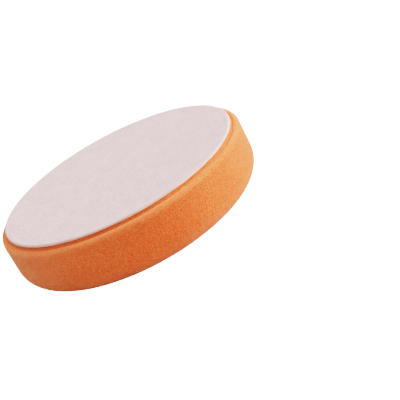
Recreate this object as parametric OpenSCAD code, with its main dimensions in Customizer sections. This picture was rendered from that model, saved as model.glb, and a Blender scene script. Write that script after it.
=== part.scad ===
// Foam polishing pad for a rotary or random orbital machine, 160 mm across.
// A round block of open-cell foam has a rolled edge round its working face. Its back
// steps in to a low boss, and a disc of loop fabric is glued to the boss.
// Millimetres, +Z up out of the loop fabric, origin at the centre of the working face.

/* [Loop backing] */
// Diameter of the loop backing, the same as the machine's backing plate
backing_d = 150; // [75:1:200]
// Thickness of the loop backing, its knitted ground and its loops together
backing_t = 1.4; // [0.8:0.1:3]
// Thickness of the layer of glue between the foam and the loop backing
glue_t = 0.1; // [0.05:0.05:0.5]

/* [Foam] */
// Height of the foam, from the working face to the top of the boss
foam_h = 35; // [28:0.5:60]
// Height of the boss above the ledge round it
boss_h = 1.5; // [0.5:0.25:4]
// Width of the ledge, from the boss to the outer wall
ledge_w = 5; // [3.5:0.5:15]
// Radius of the rolled edge between the working face and the outer wall
edge_r = 14; // [4:0.5:18]
// Radius of the shoulder between the outer wall and the ledge
shoulder_r = 2.5; // [0.5:0.25:3]

/* [Hidden] */

// Segments round every circle
$fn = 160;

backing_r = backing_d / 2;
pad_r = backing_r + ledge_w;
ledge_z = foam_h - boss_h;
backing_z = foam_h + glue_t;

// Quarter disc that rounds a corner of the section at the outer wall: side is -1 where
// the wall turns in below its centre, at height z, and 1 where it turns in above it
module wall_round(r, z, side) {
    translate([pad_r - r, z])
        intersection() {
            circle(r);
            translate([0, min(side, 0) * r])
                square(r);
        }
}

// Half of the foam's section, which turns round the axis
module foam_section() {
    // Working face, in to the start of the rolled edge
    square([pad_r - edge_r, edge_r]);
    wall_round(edge_r, edge_r, -1);

    // Full width, between the rolled edge and the shoulder
    translate([0, edge_r])
        square([pad_r, ledge_z - shoulder_r - edge_r]);

    // Ledge, out to the start of the shoulder
    translate([0, ledge_z - shoulder_r])
        square([pad_r - shoulder_r, shoulder_r]);
    wall_round(shoulder_r, ledge_z - shoulder_r, 1);

    // Boss, which the backing covers to its rim
    translate([0, ledge_z])
        square([backing_r, boss_h]);
}

module foam_body() {
    color("#df8141")
        rotate_extrude()
            foam_section();
}

module glue_layer() {
    color("#c98a55")
        translate([0, 0, foam_h])
            cylinder(h = glue_t, r = backing_r);
}

module loop_backing() {
    color("#e0d4d4")
        translate([0, 0, backing_z])
            cylinder(h = backing_t, r = backing_r);
}

foam_body();
glue_layer();
loop_backing();
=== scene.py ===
# Foam polishing pad, 160 mm across, lying on its working face with its loop fabric up.
import math

import bpy
import numpy as np
from mathutils import Matrix, Vector


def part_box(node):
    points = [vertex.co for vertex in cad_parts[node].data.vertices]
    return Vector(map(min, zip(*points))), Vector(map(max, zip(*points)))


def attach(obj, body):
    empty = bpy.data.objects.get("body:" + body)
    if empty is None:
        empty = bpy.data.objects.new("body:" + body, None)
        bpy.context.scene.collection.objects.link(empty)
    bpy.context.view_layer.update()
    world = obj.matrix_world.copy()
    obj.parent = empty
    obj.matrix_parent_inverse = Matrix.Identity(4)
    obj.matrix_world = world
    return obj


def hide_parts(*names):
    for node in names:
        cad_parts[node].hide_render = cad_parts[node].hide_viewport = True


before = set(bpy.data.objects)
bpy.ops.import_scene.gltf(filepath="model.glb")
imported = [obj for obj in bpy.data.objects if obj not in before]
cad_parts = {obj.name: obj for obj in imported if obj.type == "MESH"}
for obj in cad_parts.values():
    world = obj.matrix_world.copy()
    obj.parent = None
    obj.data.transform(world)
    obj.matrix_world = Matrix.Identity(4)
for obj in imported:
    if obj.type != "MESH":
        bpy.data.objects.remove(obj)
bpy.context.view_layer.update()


def mm(value):
    return value / 1000.0


def toLinear(hexColour):
    # sRGB hex to linear RGBA
    channels = [int(hexColour[i:i + 2], 16) / 255 for i in (1, 3, 5)]
    return (*[c / 12.92 if c <= 0.04045 else ((c + 0.055) / 1.055) ** 2.4 for c in channels], 1.0)


def addNode(tree, kind, settings=None, **inputs):
    # One node with its settings; each input is a value, or the socket or node that feeds it.
    # An input's name is its socket's name without spaces, or s and its number
    node = tree.nodes.new(kind)
    for key, value in (settings or {}).items():
        setattr(node, key, value)
    for key, value in inputs.items():
        if key[0] == "s" and key[1:].isdigit():
            socket = node.inputs[int(key[1:])]
        else:
            socket = next(s for s in node.inputs if s.name.replace(" ", "") == key and s.enabled)
        if isinstance(value, bpy.types.Node):
            value = value.outputs[0]
        if isinstance(value, bpy.types.NodeSocket):
            tree.links.new(value, socket)
        else:
            socket.default_value = value
    return node


cameraSetup = {
    "lens": 94.3,             # mm
    "sensor": 36.0,           # mm across
    "aim": (36.8, 0.0, -6.9),  # mm, the point that the lens looks at
    "distance": 648.7,        # mm from the lens to that point
    "elevation": 22.24,       # degrees above the floor
    "swing": 3.51,            # degrees that the view turns to the right
    "roll": 27.78,            # degrees that the camera leans to its right
    "nearest": 10.0,          # mm from the lens, where things begin to be seen
    "farthest": 100000.0,     # mm
}


def makeCamera(setup):
    data = bpy.data.cameras.new("camera")
    data.lens, data.sensor_width = setup["lens"], setup["sensor"]
    data.clip_start, data.clip_end = mm(setup["nearest"]), mm(setup["farthest"])
    rise, turn = math.radians(setup["elevation"]), math.radians(setup["swing"])
    look = Vector((math.sin(turn) * math.cos(rise), math.cos(turn) * math.cos(rise), -math.sin(rise)))
    camera = bpy.data.objects.new("camera", data)
    level = look.to_track_quat("-Z", "Y").to_matrix().to_4x4()
    lean = Matrix.Rotation(-math.radians(setup["roll"]), 4, "Z")
    place = Vector([mm(v) for v in setup["aim"]]) - look * mm(setup["distance"])
    camera.matrix_world = Matrix.Translation(place) @ level @ lean
    bpy.context.scene.collection.objects.link(camera)
    bpy.context.scene.camera = camera


makeCamera(cameraSetup)
print("camera placed")


lightSetup = {
    "sky": 0.055,             # light from all round
    "backdrop": 3.0,          # what the lens sees past the floor
    # Each one's name, degrees from +X towards +Y, degrees up, strength, degrees across and colour
    "softboxes": [
        ("keySoftbox", 0.0, 12.0, 3.45, 50.0, "#ffffff"),
        ("topSoftbox", 0.0, 88.0, 2.35, 80.0, "#fff6f6"),
        ("frontFill", -30.0, 20.0, 0.1, 60.0, "#ffffff"),
    ],
}

floorSetup = {
    "radius": 9000.0,         # mm
    "sides": 64,
    "colour": "#f8f8f8",
    "glow": 2.1,              # the table is lit from below, so that the lens sees it white
}

filmSetup = {
    "contrast": 1.7,          # how steeply tones part in the shadows
    "white": 1.05,            # where the response levels off, a little past full white
    "middle": 0.4,            # the light that comes out half as bright as that
    "brightest": 6.0,         # the brightest light that the curve covers
    "points": 24,             # along the curve
}


def makeLights(setup):
    world = bpy.data.worlds.new("studio")
    bpy.context.scene.world = world
    world.use_nodes = True
    tree = world.node_tree
    tree.nodes.clear()
    white = toLinear("#ffffff")
    sky = addNode(tree, "ShaderNodeBackground", Color=white, Strength=setup["sky"])
    seen = addNode(tree, "ShaderNodeBackground", Color=white, Strength=setup["backdrop"])
    path = addNode(tree, "ShaderNodeLightPath")
    both = addNode(tree, "ShaderNodeMixShader", s0=path.outputs["Is Camera Ray"],
                   s1=sky.outputs[0], s2=seen.outputs[0])
    addNode(tree, "ShaderNodeOutputWorld", Surface=both.outputs[0])
    for name, azimuth, elevation, strength, across, colour in setup["softboxes"]:
        data = bpy.data.lights.new(name, "SUN")
        data.energy, data.angle, data.color = strength, math.radians(across), toLinear(colour)[:3]
        lamp = bpy.data.objects.new(name, data)
        turn, rise = math.radians(azimuth), math.radians(elevation)
        towards = Vector((math.cos(turn) * math.cos(rise), math.sin(turn) * math.cos(rise), math.sin(rise)))
        lamp.rotation_euler = towards.to_track_quat("Z", "Y").to_euler()
        bpy.context.scene.collection.objects.link(lamp)


def makeFloor(setup):
    material = bpy.data.materials.new("lightTable")
    material.use_nodes = True
    tree = material.node_tree
    tree.nodes.clear()
    shade = addNode(tree, "ShaderNodeBsdfDiffuse", Color=toLinear(setup["colour"]))
    path = addNode(tree, "ShaderNodeLightPath")
    seen = addNode(tree, "ShaderNodeMath", {"operation": "MULTIPLY"}, s0=path.outputs["Is Camera Ray"],
                   s1=setup["glow"])
    glow = addNode(tree, "ShaderNodeEmission", Color=toLinear("#ffffff"), Strength=seen)
    both = addNode(tree, "ShaderNodeAddShader", s0=shade.outputs[0], s1=glow.outputs[0])
    addNode(tree, "ShaderNodeOutputMaterial", Surface=both.outputs[0])
    radius = mm(setup["radius"])
    turns = [math.tau * i / setup["sides"] for i in range(setup["sides"])]
    mesh = bpy.data.meshes.new("floor")
    mesh.from_pydata([(radius * math.cos(turn), radius * math.sin(turn), 0) for turn in turns], [],
                     [range(setup["sides"])])
    mesh.materials.append(material)
    floor = bpy.data.objects.new("floor", mesh)
    bpy.context.scene.collection.objects.link(floor)


def setFilm(setup):
    # A film's response to light: soft in the highlights and firm in the shadows
    view = bpy.context.scene.view_settings
    view.view_transform = "Standard"
    view.use_curve_mapping = True
    view.curve_mapping.clip_max_x = setup["brightest"]
    response = view.curve_mapping.curves[3]    # the one for red, green and blue together
    for i in range(setup["points"], 0, -1):
        # The points lie closer together in the shadows, where the curve bends most
        light = setup["brightest"] * (i / setup["points"]) ** 2
        raised = light ** setup["contrast"]
        tone = setup["white"] * raised / (raised + setup["middle"] ** setup["contrast"])
        if i == setup["points"]:
            response.points[1].location = (light, tone)
        else:
            response.points.new(light, tone)
    view.curve_mapping.update()


makeLights(lightSetup)
makeFloor(floorSetup)
setFilm(filmSetup)
print("lights, floor and film set")


rowHeight = 0.866             # of a row of even triangles, as a share of their side
planeSlack = 0.01             # mm, how close to a plane counts as in it
fineRim = 1.0                 # mm, how far in from its rim a flat face keeps fine triangles


def arcPoints(centre, radius, start, end, step):
    # (r, z) along an arc of the section, in degrees, start left out
    count = max(2, math.ceil(math.radians(abs(end - start)) * radius / step))
    angles = [math.radians(start + (end - start) * i / count) for i in range(1, count + 1)]
    return [(centre[0] + radius * math.cos(a), centre[1] + radius * math.sin(a)) for a in angles]


def linePoints(start, end, step):
    # (r, z) along a straight line of the section, start left out
    count = max(1, math.ceil(math.dist(start, end) / step))
    return [(start[0] + (end[0] - start[0]) * i / count, start[1] + (end[1] - start[1]) * i / count)
            for i in range(1, count + 1)]


def turnedShell(name, section, spacing):
    # A closed shell from a section in mm that runs from the axis below to the axis above.
    # spacing(r, z) is the side of its triangles there, so they are even all over, and each row
    # of them is turned by half a triangle against the one before
    angles, firsts, points = [], [], []
    for i, (r, z) in enumerate(section):
        count = max(3, round(math.tau * r / spacing(r, z))) if r > 0 else 1
        turn = (np.arange(count + 1) + 0.5 * (i % 2)) * math.tau / count
        firsts.append(sum(len(p) for p in points))
        angles.append(turn)
        points.append(np.stack([r * np.cos(turn[:-1]), r * np.sin(turn[:-1]), np.full(count, z)], 1))
    triangles = []
    for i in range(len(section) - 1):
        low, high, a, b = angles[i], angles[i + 1], firsts[i], firsts[i + 1]
        lowCount, highCount = len(low) - 1, len(high) - 1
        if lowCount > 1:
            step = np.arange(lowCount)
            across = np.searchsorted(high[1:], low[1:], "left") % highCount if highCount > 1 else 0 * step
            triangles.append(np.stack([a + step, a + (step + 1) % lowCount, b + across], 1))
        if highCount > 1:
            step = np.arange(highCount)
            across = np.searchsorted(low[1:], high[1:], "right") % lowCount if lowCount > 1 else 0 * step
            triangles.append(np.stack([a + across, b + (step + 1) % highCount, b + step], 1))
    corners = np.concatenate(triangles).astype(np.int32)
    mesh = bpy.data.meshes.new(name)
    mesh.vertices.add(sum(len(p) for p in points))
    mesh.vertices.foreach_set("co", mm(np.concatenate(points)).ravel())
    mesh.loops.add(corners.size)
    mesh.loops.foreach_set("vertex_index", corners.ravel())
    mesh.polygons.add(len(corners))
    mesh.polygons.foreach_set("loop_start", np.arange(0, corners.size, 3))
    mesh.polygons.foreach_set("use_smooth", np.ones(len(corners), bool))
    mesh.update()
    mesh.validate()
    return mesh


def newTree(name, inputs):
    # A Geometry Nodes tree with a geometry going in and out, and a named input for each size
    tree = bpy.data.node_groups.new(name, "GeometryNodeTree")
    tree.interface.new_socket("Geometry", in_out="INPUT", socket_type="NodeSocketGeometry")
    tree.interface.new_socket("Geometry", in_out="OUTPUT", socket_type="NodeSocketGeometry")
    for key, value in inputs.items():
        kind = "NodeSocketInt" if isinstance(value, int) else "NodeSocketFloat"
        tree.interface.new_socket(key, in_out="INPUT", socket_type=kind).default_value = value
    return tree, addNode(tree, "NodeGroupInput"), addNode(tree, "NodeGroupOutput")


def endTree(tree, out, geometry, material):
    real = addNode(tree, "GeometryNodeRealizeInstances", Geometry=geometry)
    dressed = addNode(tree, "GeometryNodeSetMaterial", Geometry=real.outputs[0], Material=material)
    tree.links.new(dressed.outputs[0], out.inputs[0])


def runTree(name, mesh, tree, sizes):
    # Runs the tree on the mesh with these sizes, and returns a plain object with the result
    carrier = bpy.data.objects.new(name + "Carrier", mesh)
    bpy.context.scene.collection.objects.link(carrier)
    modifier = carrier.modifiers.new(tree.name, "NODES")
    modifier.node_group = tree
    for item in tree.interface.items_tree:
        if item.in_out == "INPUT" and item.name in sizes:
            modifier[item.identifier] = sizes[item.name]
    evaluated = carrier.evaluated_get(bpy.context.evaluated_depsgraph_get())
    result = bpy.data.meshes.new_from_object(evaluated)
    bpy.data.objects.remove(carrier)
    result.name = name
    piece = bpy.data.objects.new(name, result)
    bpy.context.scene.collection.objects.link(piece)
    print(name, "has", sum(len(p.vertices) - 2 for p in result.polygons), "triangles")
    return piece


def newMaterial(name):
    material = bpy.data.materials.new(name)
    material.use_nodes = True
    material.node_tree.nodes.clear()
    return material, material.node_tree


foamFinish = {
    "strut": "#ff874e",       # cell walls that stand at the surface
    "pore": "#b23f10",        # painted shade: the cells' hollows are drawn darker and deeper in colour
    "poreShare": 0.54,        # how far a deep pore goes towards that colour
    "mottle": "#e06430",      # slight unevenness of the dye
    "mottleShare": 0.35,      # how far the dye goes towards that colour
    "glint": "#ffb988",       # painted highlights, as of struts that stick out of the rest and catch the light
    "glintShare": 0.34,       # how far they go towards that colour
    "glintCells": (0.1, 0.3),  # share of the fine cells that have it in full, and that have any of it
    "fluff": 0.22,            # how far the shoulder, lip and groove go towards the glint colour: a painted highlight
    "fluffDrops": (6.0, 2.0),  # mm below the boss's top, where that painted highlight starts and where it is full
    "cell": 0.9,              # mm, as coarse as it needs to show; the foam's own cells are about half that
    "fineCell": 0.45,         # mm
    "fineShare": 0.45,        # how deep a fine cell looks beside a coarse one
    "wallShares": (0.02, 0.2),  # shares of a cell where its wall ends and where it is fully deep
    "openness": (0.35, 0.9),  # depth of the shallowest cell and of the deepest
    "unevenness": 22.0,       # mm, of the dye
    "unevenRange": (0.35, 0.7),  # values of the noise where the mottle starts and where it is full
    "relief": 0.2,            # mm, of the cells that are too fine for the mesh
    "reliefShare": 0.7,       # how strongly it shows
    "roughness": 0.95,
    "ior": 1.45,
    "specular": 0.15,
    "sheenTint": "#ffdab4",
    "sheen": 0.82,
    "sheenRoughness": 0.5,
}


def dyedPolyurethaneFoam(finish, top):
    # Open-cell polyurethane foam, dyed orange and cut to shape: dead matt, with a fine sandy grain
    # of open cells with painted shade in them and painted glints on some struts, deep in colour face on,
    # and paler on the shoulder, lip, groove and boss side, where a painted highlight lies
    material, tree = newMaterial("dyedPolyurethaneFoam")
    place = addNode(tree, "ShaderNodeTexCoord").outputs["Object"]
    cellScale, fineScale = 1 / mm(finish["cell"]), 1 / mm(finish["fineCell"])
    wallEnd, fullDepth = finish["wallShares"]
    coarse = addNode(tree, "ShaderNodeTexVoronoi", {"feature": "DISTANCE_TO_EDGE"}, Vector=place,
                     Scale=cellScale)
    fine = addNode(tree, "ShaderNodeTexVoronoi", {"feature": "DISTANCE_TO_EDGE"}, Vector=place,
                   Scale=fineScale)
    pit = addNode(tree, "ShaderNodeMapRange", {"interpolation_type": "SMOOTHSTEP"}, Value=coarse,
                  FromMin=wallEnd, FromMax=fullDepth, ToMin=0.0, ToMax=1.0)
    finePit = addNode(tree, "ShaderNodeMapRange", {"interpolation_type": "SMOOTHSTEP"}, Value=fine,
                      FromMin=wallEnd, FromMax=fullDepth, ToMin=0.0, ToMax=1.0)
    # Each cell draws a lot, which says how open it is
    whichCell = addNode(tree, "ShaderNodeTexVoronoi", Vector=place, Scale=cellScale)
    lot = addNode(tree, "ShaderNodeSeparateColor", Color=whichCell.outputs["Color"])
    openness = addNode(tree, "ShaderNodeMapRange", Value=lot, FromMin=0.0, FromMax=1.0,
                       ToMin=finish["openness"][0], ToMax=finish["openness"][1])
    deep = addNode(tree, "ShaderNodeMath", {"operation": "MULTIPLY"}, s0=pit, s1=openness)
    shade = addNode(tree, "ShaderNodeMath", {"operation": "MULTIPLY_ADD"}, s0=finePit,
                    s1=finish["fineShare"], s2=deep)
    # Painted shade: the deeper a cell's hollow, the further it goes to the darker colour
    depth = addNode(tree, "ShaderNodeMath", {"operation": "MULTIPLY"}, s0=shade, s1=finish["poreShare"])
    colour = addNode(tree, "ShaderNodeMix", {"data_type": "RGBA"}, s0=depth,
                     s6=toLinear(finish["strut"]), s7=toLinear(finish["pore"]))
    cloud = addNode(tree, "ShaderNodeTexNoise", Vector=place, Scale=1 / mm(finish["unevenness"]),
                    Detail=2.0)
    share = addNode(tree, "ShaderNodeMapRange", Value=cloud, FromMin=finish["unevenRange"][0],
                    FromMax=finish["unevenRange"][1], ToMin=0.0, ToMax=finish["mottleShare"])
    colour = addNode(tree, "ShaderNodeMix", {"data_type": "RGBA"}, s0=share, s6=colour.outputs[2],
                     s7=toLinear(finish["mottle"]))
    # The fine cells with the lowest lots get a painted glint, as of a strut that sticks out and catches the
    # light
    whichFine = addNode(tree, "ShaderNodeTexVoronoi", Vector=place, Scale=fineScale)
    fineLot = addNode(tree, "ShaderNodeSeparateColor", Color=whichFine.outputs["Color"])
    paintedGlint = addNode(tree, "ShaderNodeMapRange", Value=fineLot, FromMin=finish["glintCells"][0],
                    FromMax=finish["glintCells"][1], ToMin=finish["glintShare"], ToMax=0.0)
    colour = addNode(tree, "ShaderNodeMix", {"data_type": "RGBA"}, s0=paintedGlint, s6=colour.outputs[2],
                     s7=toLinear(finish["glint"]))
    height = addNode(tree, "ShaderNodeSeparateXYZ", Vector=place).outputs[2]
    # Painted highlight: the shoulder, lip, groove and boss side go paler, towards the glint colour, with
    # height
    paintedShoulderHighlight = addNode(tree, "ShaderNodeMapRange", {"interpolation_type": "SMOOTHSTEP"}, Value=height,
                      FromMin=mm(top - finish["fluffDrops"][0]), FromMax=mm(top - finish["fluffDrops"][1]),
                      ToMin=0.0, ToMax=finish["fluff"])
    colour = addNode(tree, "ShaderNodeMix", {"data_type": "RGBA"}, s0=paintedShoulderHighlight, s6=colour.outputs[2],
                     s7=toLinear(finish["glint"]))
    raised = addNode(tree, "ShaderNodeMath", {"operation": "SUBTRACT"}, s0=1.0, s1=shade)
    bump = addNode(tree, "ShaderNodeBump", Strength=finish["reliefShare"], Distance=mm(finish["relief"]),
                   Height=raised)
    skin = addNode(tree, "ShaderNodeBsdfPrincipled", BaseColor=colour.outputs[2],
                   Roughness=finish["roughness"], IOR=finish["ior"], SpecularIORLevel=finish["specular"],
                   SheenWeight=finish["sheen"], SheenRoughness=finish["sheenRoughness"],
                   SheenTint=toLinear(finish["sheenTint"]), Normal=bump)
    addNode(tree, "ShaderNodeOutputMaterial", Surface=skin)
    return material


loopFinish = {
    "nap": "#d8c4c4",         # bleached nylon; its faint pink is partly painted orange light bounced from the foam
    # painted shade: the colour of the valleys between the tufts, darker than the nap
    "valley": "#c0aaa9",
    "soaked": "#ffd0b0",      # the foot of the cut edge, where glue soaks in and the foam shows through, drawn lighter than the nap: painted light on the edge's shaded side
    "soakFrom": 0.1,          # mm below the fabric, where that colour is full
    "soakTo": 0.15,           # mm below the fabric's top, where it ends
    "tuft": 0.6,              # mm, clumps of brushed loops
    "patch": 9.0,             # mm, where the brushing lies another way
    "patchShares": (0.5, 1.0),  # how strongly the tufts show, from patch to patch
    "noiseRange": (0.3, 0.7),  # values of the noise in a valley and on the nap
    "relief": 0.1,            # mm, of the tufts
    "reliefShare": 0.5,       # how strongly it shows
    "through": 0.6,           # share of the light that goes in among the filaments
    "depth": 1.2,             # mm, how far it wanders there
    "wander": (1.0, 0.85, 0.75),  # how far red, green and blue go, of that
    "roughness": 0.9,
    "ior": 1.53,
    "specular": 0.2,
    "sheen": 0.3,
    "sheenRoughness": 0.5,
}


def brushedNylonLoop(finish, bottom, top):
    # Knitted nylon with its loops brushed up: dull white and soft, with a faint mottle of tufts,
    # painted shade between them, and painted light at the foot of the cut edge
    material, tree = newMaterial("brushedNylonLoop")
    place = addNode(tree, "ShaderNodeTexCoord").outputs["Object"]
    least, most = finish["noiseRange"]
    tuft = addNode(tree, "ShaderNodeTexNoise", Vector=place, Scale=1 / mm(finish["tuft"]), Detail=3.0)
    patch = addNode(tree, "ShaderNodeTexNoise", Vector=place, Scale=1 / mm(finish["patch"]), Detail=2.0)
    low = addNode(tree, "ShaderNodeMapRange", Value=tuft, FromMin=least, FromMax=most, ToMin=1.0,
                  ToMax=0.0)
    lay = addNode(tree, "ShaderNodeMapRange", Value=patch, FromMin=least, FromMax=most,
                  ToMin=finish["patchShares"][0], ToMax=finish["patchShares"][1])
    # Painted shade: darker where the tufts' relief is low, in the valleys between them
    share = addNode(tree, "ShaderNodeMath", {"operation": "MULTIPLY"}, s0=low, s1=lay)
    colour = addNode(tree, "ShaderNodeMix", {"data_type": "RGBA"}, s0=share, s6=toLinear(finish["nap"]),
                     s7=toLinear(finish["valley"]))
    height = addNode(tree, "ShaderNodeSeparateXYZ", Vector=place).outputs[2]
    # Painted light: the cut edge's side goes lighter and warmer towards its foot, where glue also soaks in
    soaked = addNode(tree, "ShaderNodeMapRange", {"interpolation_type": "SMOOTHSTEP"}, Value=height,
                     FromMin=mm(bottom - finish["soakFrom"]), FromMax=mm(top - finish["soakTo"]),
                     ToMin=1.0, ToMax=0.0)
    colour = addNode(tree, "ShaderNodeMix", {"data_type": "RGBA"}, s0=soaked, s6=colour.outputs[2],
                     s7=toLinear(finish["soaked"]))
    bump = addNode(tree, "ShaderNodeBump", Strength=finish["reliefShare"], Distance=mm(finish["relief"]),
                   Height=tuft)
    skin = addNode(tree, "ShaderNodeBsdfPrincipled", BaseColor=colour.outputs[2],
                   Roughness=finish["roughness"], IOR=finish["ior"], SpecularIORLevel=finish["specular"],
                   SheenWeight=finish["sheen"], SheenRoughness=finish["sheenRoughness"], Normal=bump,
                   SubsurfaceWeight=finish["through"], SubsurfaceRadius=finish["wander"],
                   SubsurfaceScale=mm(finish["depth"]))
    addNode(tree, "ShaderNodeOutputMaterial", Surface=skin)
    return material


filamentFinish = {
    "nap": "#d8c4c4",         # as the fabric's
    "valley": "#c0aaa9",
    "patch": 1.5,             # mm, in which the colour goes from one to the other
    "noiseRange": (0.35, 0.65),  # values of the noise where it is all the first, and all the second
    "roughness": 0.6,
    "ior": 1.53,
    "specular": 0.4,
    "sheen": 0.3,
    "sheenRoughness": 0.5,
}


def nylonFilament(finish):
    # Single nylon filaments of the loops: white, with a slight gloss along their length
    material, tree = newMaterial("nylonFilament")
    place = addNode(tree, "ShaderNodeTexCoord").outputs["Object"]
    patch = addNode(tree, "ShaderNodeTexNoise", Vector=place, Scale=1 / mm(finish["patch"]), Detail=2.0)
    share = addNode(tree, "ShaderNodeMapRange", Value=patch, FromMin=finish["noiseRange"][0],
                    FromMax=finish["noiseRange"][1], ToMin=0.0, ToMax=1.0)
    colour = addNode(tree, "ShaderNodeMix", {"data_type": "RGBA"}, s0=share, s6=toLinear(finish["nap"]),
                     s7=toLinear(finish["valley"]))
    skin = addNode(tree, "ShaderNodeBsdfPrincipled", BaseColor=colour.outputs[2],
                   Roughness=finish["roughness"], IOR=finish["ior"], SpecularIORLevel=finish["specular"],
                   SheenWeight=finish["sheen"], SheenRoughness=finish["sheenRoughness"])
    addNode(tree, "ShaderNodeOutputMaterial", Surface=skin)
    return material


glueFinish = {
    "thin": "#dd9f70",        # a thin smear over the foam
    "thick": "#c67b48",       # where it pooled
    "pool": 2.5,              # mm across
    "noiseRange": (0.35, 0.65),  # values of the noise where it is thin and where it is thick
    "roughness": 0.55,
    "ior": 1.48,
}


def hotMeltGlue(finish):
    # Set hot-melt glue: a tan film, waxy, which the foam's colour shows through
    material, tree = newMaterial("hotMeltGlue")
    place = addNode(tree, "ShaderNodeTexCoord").outputs["Object"]
    pool = addNode(tree, "ShaderNodeTexNoise", Vector=place, Scale=1 / mm(finish["pool"]), Detail=2.0)
    share = addNode(tree, "ShaderNodeMapRange", Value=pool, FromMin=finish["noiseRange"][0],
                    FromMax=finish["noiseRange"][1], ToMin=0.0, ToMax=1.0)
    colour = addNode(tree, "ShaderNodeMix", {"data_type": "RGBA"}, s0=share, s6=toLinear(finish["thin"]),
                     s7=toLinear(finish["thick"]))
    skin = addNode(tree, "ShaderNodeBsdfPrincipled", BaseColor=colour.outputs[2],
                   Roughness=finish["roughness"], IOR=finish["ior"])
    addNode(tree, "ShaderNodeOutputMaterial", Surface=skin)
    return material


# Sizes in mm, from the frame: the boss is the raised disc that the fabric is glued to
padRadius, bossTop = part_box("foam_body")[1].x * 1000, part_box("foam_body")[1].z * 1000
backRadius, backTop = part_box("loop_backing")[1].x * 1000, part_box("loop_backing")[1].z * 1000
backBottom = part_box("loop_backing")[0].z * 1000

foam = dyedPolyurethaneFoam(foamFinish, bossTop)
nylon = brushedNylonLoop(loopFinish, backBottom, backTop)
filament = nylonFilament(filamentFinish)
glue = hotMeltGlue(glueFinish)
print("materials made")

foamShape = {
    "edgeRadius": 14.0,       # mm, the rolled edge of the working face
    "lipRadius": 3.0,         # mm, where the wall rolls in to the ledge
    "lipDrop": 1.5,           # mm, from the top of the boss to the top of the lip
    "grooveDrop": 1.78,       # mm, from the top of the boss to its foot, where the blade ran
    "cornerFillet": 0.35,     # mm
    "flare": 0.8,             # mm, how much wider the boss is at its foot
    "bossRounding": 0.25,     # mm, at the boss's top edge
    "side": 0.4,              # mm, the mesh's triangles where the foam shows
    "faceSide": 0.7,          # mm, on the working face
    "hiddenSide": 4.0,        # mm, under the glue
    "pitDepth": 0.17,         # mm, of the deepest open cell
    "shallowest": 0.25,       # depth of the shallowest cell, as a share of that
    "wallShares": (0.03, 0.32),  # shares of a cell where its wall ends and where it is fully deep
    "wave": 0.2,              # mm, how far the cut wanders
    "waveLength": 26.0,       # mm
    "glued": 0.05,            # mm below the boss's top, where the cells stop
}


def foamSection(shape):
    # From the middle of the working face, round the edge, up the wall, over the lip and up the boss
    step, faceStep = rowHeight * shape["side"], rowHeight * shape["faceSide"]
    edge, lip = shape["edgeRadius"], shape["lipRadius"]
    fillet, top = shape["cornerFillet"], shape["bossRounding"]
    lipTop, foot = bossTop - shape["lipDrop"], bossTop - shape["grooveDrop"]
    footRadius = backRadius + shape["flare"]
    points = [(0.0, 0.0)] + linePoints((0, 0), (padRadius - edge, 0), faceStep)
    points += arcPoints((padRadius - edge, edge), edge, -90, 0, step)
    points += linePoints((padRadius, edge), (padRadius, lipTop - lip), step)
    points += arcPoints((padRadius - lip, lipTop - lip), lip, 0, 90, step)
    points += linePoints((padRadius - lip, lipTop), (footRadius + fillet, foot), step)
    points += arcPoints((footRadius + fillet, foot + fillet), fillet, -90, -180, step)
    points += linePoints((footRadius, foot + fillet), (backRadius, bossTop - top), step)
    points += arcPoints((backRadius - top, bossTop - top), top, 0, 90, step)
    points += linePoints((backRadius - top, bossTop), (0, bossTop), shape["hiddenSide"])
    return points[:-1] + [(0.0, bossTop)]


def foamSpacing(r, z):
    if z > bossTop - planeSlack and r < backRadius - fineRim:
        return foamShape["hiddenSide"]
    if z < planeSlack and r < padRadius - foamShape["edgeRadius"] - fineRim:
        return foamShape["faceSide"]
    return foamShape["side"]


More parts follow.
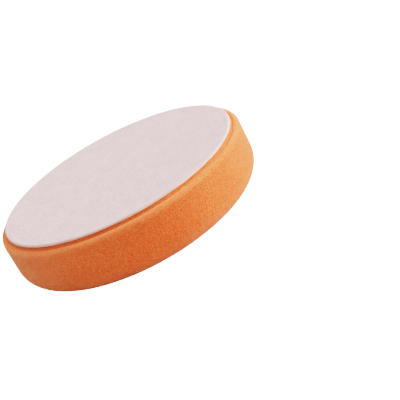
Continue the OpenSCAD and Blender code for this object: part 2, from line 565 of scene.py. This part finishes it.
def foamCells(material, sizes):
    # Opens a pit into each cell that the cut went through, and lets the cut wander a little
    tree, into, out = newTree("foamCells", sizes)
    place = addNode(tree, "GeometryNodeInputPosition")
    normal = addNode(tree, "GeometryNodeInputNormal")
    scale = addNode(tree, "ShaderNodeMath", {"operation": "DIVIDE"}, s0=1.0, s1=into.outputs["Cell"])
    wall = addNode(tree, "ShaderNodeTexVoronoi", {"feature": "DISTANCE_TO_EDGE"}, Vector=place,
                   Scale=scale)
    whichCell = addNode(tree, "ShaderNodeTexVoronoi", Vector=place, Scale=scale)
    lot = addNode(tree, "FunctionNodeSeparateColor", Color=whichCell.outputs["Color"])
    opening = addNode(tree, "ShaderNodeMapRange", {"interpolation_type": "SMOOTHSTEP"}, Value=wall,
                      FromMin=into.outputs["Wall End"], FromMax=into.outputs["Full Depth"], ToMin=0.0,
                      ToMax=1.0)
    depth = addNode(tree, "ShaderNodeMapRange", Value=lot, FromMin=0.0, FromMax=1.0,
                    ToMin=into.outputs["Shallowest"], ToMax=1.0)
    pit = addNode(tree, "ShaderNodeMath", {"operation": "MULTIPLY"}, s0=opening, s1=depth)
    pit = addNode(tree, "ShaderNodeMath", {"operation": "MULTIPLY"}, s0=pit, s1=into.outputs["Pit Depth"])
    waveScale = addNode(tree, "ShaderNodeMath", {"operation": "DIVIDE"}, s0=1.0,
                        s1=into.outputs["Wave Length"])
    wave = addNode(tree, "ShaderNodeTexNoise", Vector=place, Scale=waveScale, Detail=1.0)
    sunk = addNode(tree, "ShaderNodeMath", {"operation": "MULTIPLY_ADD"}, s0=wave,
                   s1=into.outputs["Wave"], s2=pit)
    # The glued top stays flat
    height = addNode(tree, "ShaderNodeSeparateXYZ", Vector=place).outputs[2]
    underGlue = addNode(tree, "ShaderNodeMath", {"operation": "SUBTRACT"}, s0=into.outputs["Boss Top"],
                        s1=into.outputs["Glued"])
    bare = addNode(tree, "ShaderNodeMath", {"operation": "LESS_THAN"}, s0=height, s1=underGlue)
    sunk = addNode(tree, "ShaderNodeMath", {"operation": "MULTIPLY"}, s0=sunk, s1=bare)
    inwards = addNode(tree, "ShaderNodeMath", {"operation": "MULTIPLY"}, s0=sunk, s1=-1.0)
    move = addNode(tree, "ShaderNodeVectorMath", {"operation": "SCALE"}, s0=normal, Scale=inwards)
    moved = addNode(tree, "GeometryNodeSetPosition", Geometry=into.outputs["Geometry"], Offset=move)
    endTree(tree, out, moved, material)
    return tree


def makeFoam(shape):
    shell = turnedShell("foamShell", foamSection(shape), foamSpacing)
    sizes = {"Cell": mm(foamFinish["cell"]), "Pit Depth": mm(shape["pitDepth"]),
             "Shallowest": shape["shallowest"], "Wall End": shape["wallShares"][0],
             "Full Depth": shape["wallShares"][1], "Wave": mm(shape["wave"]),
             "Wave Length": mm(shape["waveLength"]), "Boss Top": mm(bossTop), "Glued": mm(shape["glued"])}
    piece = runTree("foamBody", shell, foamCells(foam, sizes), sizes)
    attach(piece, "root")
    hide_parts("foam_body")
    return piece


glueShape = {
    "bead": 0.22,             # mm, how far the glue is squeezed out past the fabric's rim
    "blob": 3.0,              # mm, the length of a blob along the rim
    "blobRange": (0.3, 0.75),  # noise that gives no bead, and that gives a full one
    "side": 0.5,              # mm, the mesh's triangles round the bead
    "hiddenSide": 4.0,        # mm, under the fabric
}


def glueBeadTree(material, sizes):
    # Pushes the film's rim out in places, where glue was squeezed past the fabric
    tree, into, out = newTree("glueBead", sizes)
    place = addNode(tree, "GeometryNodeInputPosition")
    flat = addNode(tree, "ShaderNodeVectorMath", {"operation": "MULTIPLY"}, s0=place, s1=(1.0, 1.0, 0.0))
    reach = addNode(tree, "ShaderNodeVectorMath", {"operation": "LENGTH"}, s0=flat).outputs["Value"]
    outer = addNode(tree, "ShaderNodeMath", {"operation": "GREATER_THAN"}, s0=reach,
                    s1=into.outputs["Rim"])
    scale = addNode(tree, "ShaderNodeMath", {"operation": "DIVIDE"}, s0=1.0, s1=into.outputs["Blob"])
    blob = addNode(tree, "ShaderNodeTexNoise", Vector=flat, Scale=scale, Detail=2.0)
    squeezed = addNode(tree, "ShaderNodeMapRange", Value=blob, FromMin=into.outputs["Blob Least"],
                       FromMax=into.outputs["Blob Most"], ToMin=0.0, ToMax=1.0)
    push = addNode(tree, "ShaderNodeMath", {"operation": "MULTIPLY"}, s0=squeezed,
                   s1=into.outputs["Bead"])
    push = addNode(tree, "ShaderNodeMath", {"operation": "MULTIPLY"}, s0=push, s1=outer)
    away = addNode(tree, "ShaderNodeVectorMath", {"operation": "NORMALIZE"}, s0=flat)
    move = addNode(tree, "ShaderNodeVectorMath", {"operation": "SCALE"}, s0=away, Scale=push)
    moved = addNode(tree, "GeometryNodeSetPosition", Geometry=into.outputs["Geometry"], Offset=move)
    endTree(tree, out, moved, material)
    return tree


def makeGlue(shape):
    # A flat film with a round rim of half its thickness
    inner, middle, half = backRadius - fineRim, (bossTop + backBottom) / 2, (backBottom - bossTop) / 2
    section = [(0.0, bossTop)] + linePoints((0, bossTop), (inner, bossTop), shape["hiddenSide"])
    section += linePoints((inner, bossTop), (backRadius, bossTop), shape["side"])
    section += arcPoints((backRadius, middle), half, -90, 90, half / 2)
    section += linePoints((backRadius, backBottom), (inner, backBottom), shape["side"])
    section += linePoints((inner, backBottom), (0, backBottom), shape["hiddenSide"])
    section = section[:-1] + [(0.0, backBottom)]

    def spacing(r, z):
        return shape["side"] if r > inner else shape["hiddenSide"]

    # Only points on the round of the rim are pushed
    sizes = {"Bead": mm(shape["bead"]), "Blob": mm(shape["blob"]), "Blob Least": shape["blobRange"][0],
             "Blob Most": shape["blobRange"][1], "Rim": mm(backRadius + half / 4)}
    film = turnedShell("glueFilm", section, spacing)
    piece = runTree("glueBead", film, glueBeadTree(glue, sizes), sizes)
    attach(piece, "root")
    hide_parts("glue_layer")
    return piece


fabricShape = {
    "nap": 0.08,              # mm, how far the brushed loops stand above the ground
    "rimRounding": 1.0,       # mm, where the cut edge is pressed down
    "spread": 0.42,           # mm, how far the cut edge has opened out past the backing's radius
    "side": 0.5,              # mm, the mesh's triangles on the loop face
    "hiddenSide": 4.0,        # mm, on the glue
    "wale": 1.1,              # mm, from one row of knitting to the next
    "ribShare": 0.25,         # height of those rows, as a share of the relief
    "tuft": 1.3,              # mm, clumps of loops
    "clump": (-1.0, 0.5),     # lowest and highest of the clumps, as shares of the relief
    "relief": 0.10,           # mm, of the loop face
    "topDepth": 0.02,         # mm below the top, how far down the relief reaches
    "fray": 0.2,              # mm, how far the cut wanders
    "frayLength": 8.0,        # mm, along the rim
    "frayMargin": 3.0,        # mm in from the rim, where it starts
    "frayShares": (-0.7, 1.0),  # the most that the cut wanders in, and out
}


def knittedGround(material, sizes):
    # Rows of knitting and clumps of loops on the top, and a cut edge that isn't quite true
    tree, into, out = newTree("knittedGround", sizes)
    place = addNode(tree, "GeometryNodeInputPosition")
    apart = addNode(tree, "ShaderNodeSeparateXYZ", Vector=place)
    rows = addNode(tree, "ShaderNodeMath", {"operation": "DIVIDE"}, s0=apart.outputs[0],
                   s1=into.outputs["Wale"])
    turns = addNode(tree, "ShaderNodeMath", {"operation": "MULTIPLY"}, s0=rows, s1=math.tau)
    rib = addNode(tree, "ShaderNodeMath", {"operation": "SINE"}, s0=turns)
    tuftScale = addNode(tree, "ShaderNodeMath", {"operation": "DIVIDE"}, s0=1.0, s1=into.outputs["Tuft"])
    tuft = addNode(tree, "ShaderNodeTexNoise", Vector=place, Scale=tuftScale, Detail=2.0)
    clump = addNode(tree, "ShaderNodeMapRange", Value=tuft, FromMin=0.25, FromMax=0.75,
                    ToMin=into.outputs["Clump Low"], ToMax=into.outputs["Clump High"])
    lift = addNode(tree, "ShaderNodeMath", {"operation": "MULTIPLY_ADD"}, s0=rib,
                   s1=into.outputs["Rib Share"], s2=clump)
    lift = addNode(tree, "ShaderNodeMath", {"operation": "MULTIPLY"}, s0=lift, s1=into.outputs["Relief"])
    below = addNode(tree, "ShaderNodeMath", {"operation": "SUBTRACT"}, s0=into.outputs["Top"],
                    s1=into.outputs["Top Depth"])
    onTop = addNode(tree, "ShaderNodeMath", {"operation": "GREATER_THAN"}, s0=apart.outputs[2], s1=below)
    lift = addNode(tree, "ShaderNodeMath", {"operation": "MULTIPLY"}, s0=lift, s1=onTop)
    upwards = addNode(tree, "ShaderNodeCombineXYZ", Z=lift)
    # The cut edge wanders, more the nearer it is to the rim
    flat = addNode(tree, "ShaderNodeVectorMath", {"operation": "MULTIPLY"}, s0=place, s1=(1.0, 1.0, 0.0))
    reach = addNode(tree, "ShaderNodeVectorMath", {"operation": "LENGTH"}, s0=flat).outputs["Value"]
    margin = addNode(tree, "ShaderNodeMath", {"operation": "SUBTRACT"}, s0=into.outputs["Rim"],
                     s1=into.outputs["Fray Margin"])
    rim = addNode(tree, "ShaderNodeMapRange", {"interpolation_type": "SMOOTHSTEP"}, Value=reach,
                  FromMin=margin, FromMax=into.outputs["Rim"], ToMin=0.0, ToMax=1.0)
    frayScale = addNode(tree, "ShaderNodeMath", {"operation": "DIVIDE"}, s0=1.0,
                        s1=into.outputs["Fray Length"])
    fray = addNode(tree, "ShaderNodeTexNoise", Vector=flat, Scale=frayScale, Detail=4.0, Roughness=0.6)
    stray = addNode(tree, "ShaderNodeMapRange", Value=fray, FromMin=0.2, FromMax=0.8,
                    ToMin=into.outputs["Fray In"], ToMax=into.outputs["Fray Out"])
    pull = addNode(tree, "ShaderNodeMath", {"operation": "MULTIPLY"}, s0=stray, s1=into.outputs["Fray"])
    pull = addNode(tree, "ShaderNodeMath", {"operation": "MULTIPLY"}, s0=pull, s1=rim)
    away = addNode(tree, "ShaderNodeVectorMath", {"operation": "NORMALIZE"}, s0=flat)
    sideways = addNode(tree, "ShaderNodeVectorMath", {"operation": "SCALE"}, s0=away, Scale=pull)
    move = addNode(tree, "ShaderNodeVectorMath", {"operation": "ADD"}, s0=sideways, s1=upwards)
    moved = addNode(tree, "GeometryNodeSetPosition", Geometry=into.outputs["Geometry"], Offset=move)
    endTree(tree, out, moved, material)
    return tree


def makeFabric(shape):
    top, rounding, inner = backTop - shape["nap"], shape["rimRounding"], backRadius - fineRim
    step, rim = rowHeight * shape["side"], backRadius + shape["spread"]
    section = [(0.0, backBottom)] + linePoints((0, backBottom), (inner, backBottom), shape["hiddenSide"])
    section += linePoints((inner, backBottom), (rim, backBottom), step)
    section += linePoints((rim, backBottom), (rim, top - rounding), step)
    section += arcPoints((rim - rounding, top - rounding), rounding, 0, 90, step / 2)
    section += linePoints((rim - rounding, top), (0, top), step)
    section = section[:-1] + [(0.0, top)]

    def spacing(r, z):
        return shape["hiddenSide"] if z < backBottom + planeSlack and r < inner else shape["side"]

    sizes = {"Wale": mm(shape["wale"]), "Rib Share": shape["ribShare"], "Tuft": mm(shape["tuft"]),
             "Clump Low": shape["clump"][0], "Clump High": shape["clump"][1],
             "Relief": mm(shape["relief"]), "Top Depth": mm(shape["topDepth"]), "Fray": mm(shape["fray"]),
             "Fray Length": mm(shape["frayLength"]), "Fray Margin": mm(shape["frayMargin"]),
             "Fray In": shape["frayShares"][0], "Fray Out": shape["frayShares"][1], "Top": mm(top),
             "Rim": mm(backRadius)}
    disc = turnedShell("fabricDisc", section, spacing)
    piece = runTree("loopFabric", disc, knittedGround(nylon, sizes), sizes)
    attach(piece, "root")
    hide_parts("loop_backing")
    return piece


loopShape = {
    "spacing": 1.72,          # mm, between the loops that are drawn; the real ones are closer than these
    "radius": 0.36,           # mm, of one loop
    "filament": 0.05,         # mm, half its thickness
    "arc": (-25.0, 230.0),    # degrees, where a loop's arc starts and how far it goes round
    "sunk": 0.12,             # mm, how deep its middle is in the ground
    "jitter": 0.75,           # mm, how far a loop strays from its row
    "lean": 0.9,              # radians, the most that a loop leans each way
    "turn": 1.6,              # radians, the most that it turns each way
    "scales": (0.7, 1.15),    # of the smallest loop and the largest
    "margin": 0.5,            # mm, from the outermost loops to the rim
    "seed": 11,
}


def brushedLoops(material, sizes, shape):
    # One small loop, set up again and again over the face, each leaning its own way
    tree, into, out = newTree("brushedLoops", sizes)
    across = addNode(tree, "ShaderNodeMath", {"operation": "MULTIPLY"}, s0=into.outputs["Reach"], s1=2.0)
    count = addNode(tree, "ShaderNodeMath", {"operation": "DIVIDE"}, s0=across,
                    s1=into.outputs["Spacing"])
    grid = addNode(tree, "GeometryNodeMeshGrid", SizeX=across, SizeY=across, VerticesX=count,
                   VerticesY=count)
    back = addNode(tree, "ShaderNodeMath", {"operation": "MULTIPLY"}, s0=into.outputs["Jitter"], s1=-1.0)
    low = addNode(tree, "ShaderNodeCombineXYZ", X=back, Y=back)
    high = addNode(tree, "ShaderNodeCombineXYZ", X=into.outputs["Jitter"], Y=into.outputs["Jitter"])
    stray = addNode(tree, "FunctionNodeRandomValue", {"data_type": "FLOAT_VECTOR"}, s0=low, s1=high,
                    Seed=into.outputs["Seed"])
    spread = addNode(tree, "GeometryNodeSetPosition", Geometry=grid, Offset=stray)
    place = addNode(tree, "GeometryNodeInputPosition")
    reach = addNode(tree, "ShaderNodeVectorMath", {"operation": "LENGTH"}, s0=place).outputs["Value"]
    outside = addNode(tree, "ShaderNodeMath", {"operation": "GREATER_THAN"}, s0=reach,
                      s1=into.outputs["Reach"])
    kept = addNode(tree, "GeometryNodeDeleteGeometry", Geometry=spread, Selection=outside)
    up = addNode(tree, "ShaderNodeCombineXYZ", Z=into.outputs["Height"])
    raised = addNode(tree, "GeometryNodeTransform", Geometry=kept, Translation=up)
    start, sweep = (math.radians(angle) for angle in shape["arc"])
    arch = addNode(tree, "GeometryNodeCurveArc", {"mode": "RADIUS"}, Resolution=5,
                   Radius=into.outputs["Loop Radius"], StartAngle=start, SweepAngle=sweep)
    upright = addNode(tree, "GeometryNodeTransform", Geometry=arch, Rotation=(math.radians(90), 0.0, 0.0))
    ring = addNode(tree, "GeometryNodeCurvePrimitiveCircle", {"mode": "RADIUS"}, Resolution=3,
                   Radius=into.outputs["Filament"])
    loop = addNode(tree, "GeometryNodeCurveToMesh", Curve=upright, ProfileCurve=ring, FillCaps=True)
    # The lean and the size are drawn with seeds of their own
    secondSeed = addNode(tree, "ShaderNodeMath", {"operation": "ADD"}, s0=into.outputs["Seed"], s1=1.0)
    thirdSeed = addNode(tree, "ShaderNodeMath", {"operation": "ADD"}, s0=into.outputs["Seed"], s1=2.0)
    mostLean = (shape["lean"], shape["lean"], shape["turn"])
    lean = addNode(tree, "FunctionNodeRandomValue", {"data_type": "FLOAT_VECTOR"},
                   s0=[-angle for angle in mostLean], s1=mostLean, Seed=secondSeed)
    size = addNode(tree, "FunctionNodeRandomValue", {"data_type": "FLOAT"}, s2=shape["scales"][0],
                   s3=shape["scales"][1], Seed=thirdSeed).outputs[1]
    placed = addNode(tree, "GeometryNodeInstanceOnPoints", Points=raised, Instance=loop, Rotation=lean,
                     Scale=size)
    smooth = addNode(tree, "GeometryNodeSetShadeSmooth", Geometry=placed)
    endTree(tree, out, smooth, material)
    return tree


def makeLoops(shape, ground):
    sizes = {"Reach": mm(backRadius - shape["margin"]), "Spacing": mm(shape["spacing"]),
             "Loop Radius": mm(shape["radius"]), "Filament": mm(shape["filament"]),
             "Jitter": mm(shape["jitter"]), "Height": mm(ground - shape["sunk"]), "Seed": shape["seed"]}
    start = bpy.data.meshes.new("loopStart")
    piece = runTree("loopPile", start, brushedLoops(filament, sizes, shape), sizes)
    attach(piece, "root")
    return piece


rimShape = {
    "count": 1400,            # filaments round the rim
    "length": 0.75,           # mm
    "filament": 0.045,        # mm, half its thickness
    "rooted": 0.25,           # mm in from the cut edge, where a filament starts
    "heights": (0.05, 0.8),   # the lowest and highest of them, as shares of the fabric's thickness
    "slip": 0.3,              # mm, how far one strays from its place
    "middle": (0.0, 0.5, 0.15),   # a filament's bend, as shares of its length, with Y outwards
    "tip": (0.35, 0.9, -0.25),
    "leastTurn": (-0.8, -0.9, -1.1),  # radians, the most that one turns each way
    "mostTurn": (0.5, 0.9, 1.1),
    "scales": (0.45, 1.2),    # of the shortest filament and the longest
    "seed": 5,
}


def rimFringe(material, sizes, shape):
    # Short filaments that stick out of the cut edge, each bent its own way
    tree, into, out = newTree("rimFringe", sizes)
    circle = addNode(tree, "GeometryNodeCurvePrimitiveCircle", {"mode": "RADIUS"}, Resolution=512,
                     Radius=into.outputs["Rim"])
    points = addNode(tree, "GeometryNodeCurveToPoints", {"mode": "COUNT"}, Curve=circle,
                     Count=into.outputs["Count"])
    rise = addNode(tree, "FunctionNodeRandomValue", {"data_type": "FLOAT"}, s2=shape["heights"][0],
                   s3=shape["heights"][1], Seed=into.outputs["Seed"]).outputs[1]
    rise = addNode(tree, "ShaderNodeMath", {"operation": "MULTIPLY"}, s0=rise,
                   s1=into.outputs["Thickness"])
    height = addNode(tree, "ShaderNodeMath", {"operation": "ADD"}, s0=rise, s1=into.outputs["Bottom"])
    # The place and the turn are drawn with seeds of their own
    secondSeed = addNode(tree, "ShaderNodeMath", {"operation": "ADD"}, s0=into.outputs["Seed"], s1=1.0)
    thirdSeed = addNode(tree, "ShaderNodeMath", {"operation": "ADD"}, s0=into.outputs["Seed"], s1=2.0)
    slip = mm(shape["slip"])
    aside = addNode(tree, "FunctionNodeRandomValue", {"data_type": "FLOAT_VECTOR"}, s0=(-slip, -slip, 0.0),
                    s1=(slip, slip, 0.0), Seed=secondSeed)
    lift = addNode(tree, "ShaderNodeCombineXYZ", Z=height)
    stray = addNode(tree, "ShaderNodeVectorMath", {"operation": "ADD"}, s0=lift, s1=aside)
    spread = addNode(tree, "GeometryNodeSetPosition", Geometry=points, Offset=stray)
    bend = addNode(tree, "GeometryNodeCurveQuadraticBezier", Resolution=4, Start=(0.0, 0.0, 0.0),
                   Middle=shape["middle"], End=shape["tip"])
    whole = addNode(tree, "ShaderNodeCombineXYZ", X=into.outputs["Length"], Y=into.outputs["Length"],
                    Z=into.outputs["Length"])
    sized = addNode(tree, "GeometryNodeTransform", Geometry=bend, Scale=whole)
    ring = addNode(tree, "GeometryNodeCurvePrimitiveCircle", {"mode": "RADIUS"}, Resolution=3,
                   Radius=into.outputs["Filament"])
    hair = addNode(tree, "GeometryNodeCurveToMesh", Curve=sized, ProfileCurve=ring, FillCaps=True)
    # Each one points out from the axis first, and then turns a little
    place = addNode(tree, "GeometryNodeInputPosition")
    outwards = addNode(tree, "ShaderNodeVectorMath", {"operation": "MULTIPLY"}, s0=place,
                       s1=(1.0, 1.0, 0.0))
    facing = addNode(tree, "FunctionNodeAlignRotationToVector", {"axis": "Y", "pivot_axis": "Z"},
                     Vector=outwards)
    turn = addNode(tree, "FunctionNodeRandomValue", {"data_type": "FLOAT_VECTOR"}, s0=shape["leastTurn"],
                   s1=shape["mostTurn"], Seed=thirdSeed)
    both = addNode(tree, "FunctionNodeRotateRotation", {"rotation_space": "LOCAL"}, Rotation=facing,
                   RotateBy=turn)
    size = addNode(tree, "FunctionNodeRandomValue", {"data_type": "FLOAT"}, s2=shape["scales"][0],
                   s3=shape["scales"][1], Seed=thirdSeed).outputs[1]
    placed = addNode(tree, "GeometryNodeInstanceOnPoints", Points=spread, Instance=hair, Rotation=both,
                     Scale=size)
    smooth = addNode(tree, "GeometryNodeSetShadeSmooth", Geometry=placed)
    endTree(tree, out, smooth, material)
    return tree


def makeRim(shape, rim):
    sizes = {"Rim": mm(rim - shape["rooted"]), "Bottom": mm(backBottom),
             "Thickness": mm(backTop - backBottom), "Length": mm(shape["length"]),
             "Filament": mm(shape["filament"]), "Count": shape["count"], "Seed": shape["seed"]}
    start = bpy.data.meshes.new("rimStart")
    piece = runTree("rimFibres", start, rimFringe(filament, sizes, shape), sizes)
    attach(piece, "root")
    return piece


foamBody = makeFoam(foamShape)
glueBead = makeGlue(glueShape)
loopFabric = makeFabric(fabricShape)
loopPile = makeLoops(loopShape, backTop - fabricShape["nap"])
rimFibres = makeRim(rimShape, backRadius + fabricShape["spread"])
print("pad made")
